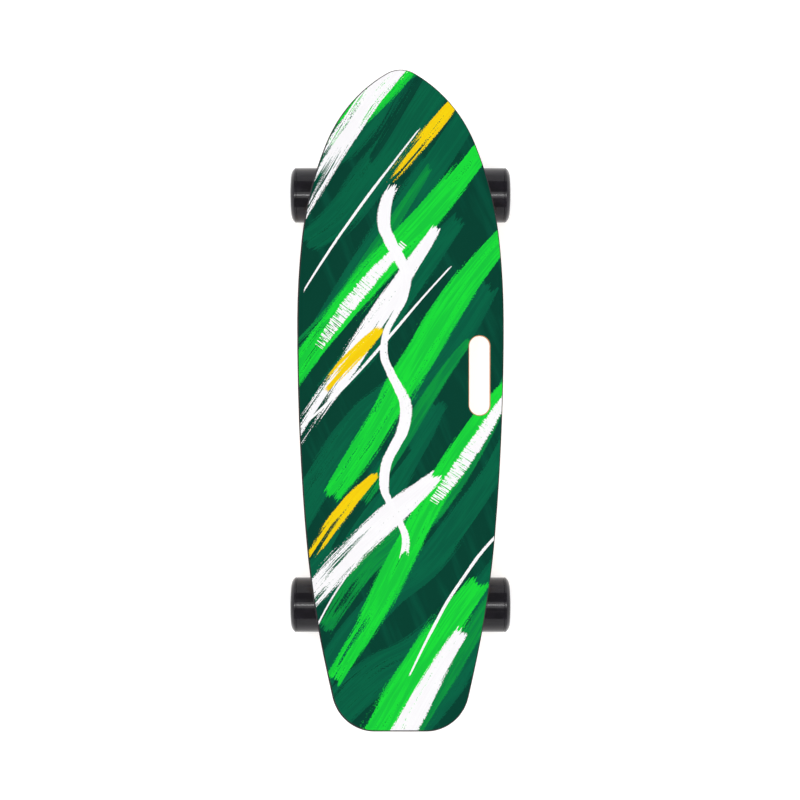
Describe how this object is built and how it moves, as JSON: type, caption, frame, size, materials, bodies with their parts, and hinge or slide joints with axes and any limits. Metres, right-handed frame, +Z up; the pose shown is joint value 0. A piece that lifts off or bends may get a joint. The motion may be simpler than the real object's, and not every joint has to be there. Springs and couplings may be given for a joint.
{
  "type": "cruiser skateboard",
  "caption": "Cruiser skateboard: maple deck with kicked tail and handle slot, printed grip sheet with green and yellow brush strokes, two cast trucks and black urethane wheels.",
  "frame": {"origin": "on the ground under the middle of the board, the middle of its bounding box in X and Y", "axes": "+X towards the nose, +Y to the rider's left when facing the nose, +Z up; the handle slot is on the right, at -Y"},
  "size_m": [0.7, 0.24, 0.1126],
  "materials": {
    "maple": "satin lacquer",
    "axle_steel": "ground",
    "zinc_steel": "zinc plated",
    "cast_aluminium": "tumbled casting",
    "bearing_steel": "ground and polished",
    "spacer_aluminium": "turned",
    "bushing_urethane": "satin, slightly translucent",
    "black_steel": "black oxide",
    "cage_nylon": "satin",
    "shield": "satin",
    "core_nylon": "satin",
    "wheel_urethane": "glossy cast urethane",
    "pivot_urethane": "matte",
    "riser_rubber": "matte",
    "printed_grip": "printed film under clear grit"
  },
  "bodies": {
    "board": {"deck": "maple", "grip_sheet": "printed_grip", "front_riser_pad": "riser_rubber", "front_baseplate": "cast_aluminium", "front_pivot_cup": "pivot_urethane", "front_kingpin": "zinc_steel", "front_kingpin_nut": "zinc_steel", "front_bushing_washers": "zinc_steel", "front_boardside_bushing": "bushing_urethane", "front_roadside_bushing": "bushing_urethane", "front_deck_bolts": "black_steel", "front_deck_nuts": "zinc_steel", "rear_riser_pad": "riser_rubber", "rear_baseplate": "cast_aluminium", "rear_pivot_cup": "pivot_urethane", "rear_kingpin": "zinc_steel", "rear_kingpin_nut": "zinc_steel", "rear_bushing_washers": "zinc_steel", "rear_boardside_bushing": "bushing_urethane", "rear_roadside_bushing": "bushing_urethane", "rear_deck_bolts": "black_steel", "rear_deck_nuts": "zinc_steel"},
    "front_hanger": {"front_hanger": "cast_aluminium", "front_axle": "axle_steel", "front_axle_nuts": "zinc_steel", "front_speed_washers": "zinc_steel", "front_bearing_inner_races": "bearing_steel", "front_bearing_spacers": "spacer_aluminium"},
    "rear_hanger": {"rear_hanger": "cast_aluminium", "rear_axle": "axle_steel", "rear_axle_nuts": "zinc_steel", "rear_speed_washers": "zinc_steel", "rear_bearing_inner_races": "bearing_steel", "rear_bearing_spacers": "spacer_aluminium"},
    "front_left_wheel": {"front_left_tyre": "wheel_urethane", "front_left_core": "core_nylon", "front_left_bearing_outer_races": "bearing_steel", "front_left_bearing_shields": "shield"},
    "front_left_bearing_balls_and_cages": {"front_left_bearing_cages": "cage_nylon", "front_left_bearing_balls": "bearing_steel"},
    "front_right_wheel": {"front_right_tyre": "wheel_urethane", "front_right_core": "core_nylon", "front_right_bearing_outer_races": "bearing_steel", "front_right_bearing_shields": "shield"},
    "front_right_bearing_balls_and_cages": {"front_right_bearing_cages": "cage_nylon", "front_right_bearing_balls": "bearing_steel"},
    "rear_left_wheel": {"rear_left_tyre": "wheel_urethane", "rear_left_core": "core_nylon", "rear_left_bearing_outer_races": "bearing_steel", "rear_left_bearing_shields": "shield"},
    "rear_left_bearing_balls_and_cages": {"rear_left_bearing_cages": "cage_nylon", "rear_left_bearing_balls": "bearing_steel"},
    "rear_right_wheel": {"rear_right_tyre": "wheel_urethane", "rear_right_core": "core_nylon", "rear_right_bearing_outer_races": "bearing_steel", "rear_right_bearing_shields": "shield"},
    "rear_right_bearing_balls_and_cages": {"rear_right_bearing_cages": "cage_nylon", "rear_right_bearing_balls": "bearing_steel"}
  },
  "joints": [
    {"name": "front_steer", "type": "hinge", "parent": "board", "child": "front_hanger", "pos_m": [0.2454, 0, 0.07], "axis": [0.871, 0, 0.4913], "range_deg": [-18, 18], "stiffness_Nm_per_rad": 80, "deforming": ["front_boardside_bushing", "front_roadside_bushing"]},
    {"name": "rear_steer", "type": "hinge", "parent": "board", "child": "rear_hanger", "pos_m": [-0.2454, 0, 0.07], "axis": [-0.871, 0, 0.4913], "range_deg": [-18, 18], "stiffness_Nm_per_rad": 80, "deforming": ["rear_boardside_bushing", "rear_roadside_bushing"]},
    {"name": "front_left_wheel_spin", "type": "hinge", "parent": "front_hanger", "child": "front_left_wheel", "pos_m": [0.2254, 0.0975, 0.03], "axis": [0, 1, 0], "continuous": true},
    {"name": "front_left_cage_spin", "type": "hinge", "parent": "front_hanger", "child": "front_left_bearing_balls_and_cages", "pos_m": [0.2254, 0.0975, 0.03], "axis": [0, 1, 0], "continuous": true},
    {"name": "front_right_wheel_spin", "type": "hinge", "parent": "front_hanger", "child": "front_right_wheel", "pos_m": [0.2254, -0.0975, 0.03], "axis": [0, 1, 0], "continuous": true},
    {"name": "front_right_cage_spin", "type": "hinge", "parent": "front_hanger", "child": "front_right_bearing_balls_and_cages", "pos_m": [0.2254, -0.0975, 0.03], "axis": [0, 1, 0], "continuous": true},
    {"name": "rear_left_wheel_spin", "type": "hinge", "parent": "rear_hanger", "child": "rear_left_wheel", "pos_m": [-0.2254, 0.0975, 0.03], "axis": [0, 1, 0], "continuous": true},
    {"name": "rear_left_cage_spin", "type": "hinge", "parent": "rear_hanger", "child": "rear_left_bearing_balls_and_cages", "pos_m": [-0.2254, 0.0975, 0.03], "axis": [0, 1, 0], "continuous": true},
    {"name": "rear_right_wheel_spin", "type": "hinge", "parent": "rear_hanger", "child": "rear_right_wheel", "pos_m": [-0.2254, -0.0975, 0.03], "axis": [0, 1, 0], "continuous": true},
    {"name": "rear_right_cage_spin", "type": "hinge", "parent": "rear_hanger", "child": "rear_right_bearing_balls_and_cages", "pos_m": [-0.2254, -0.0975, 0.03], "axis": [0, 1, 0], "continuous": true}
  ],
  "couplings": [
    {"joint": "front_left_cage_spin", "follows": "front_left_wheel_spin", "ratio": 0.632},
    {"joint": "front_right_cage_spin", "follows": "front_right_wheel_spin", "ratio": 0.632},
    {"joint": "rear_left_cage_spin", "follows": "rear_left_wheel_spin", "ratio": 0.632},
    {"joint": "rear_right_cage_spin", "follows": "rear_right_wheel_spin", "ratio": 0.632}
  ]
}
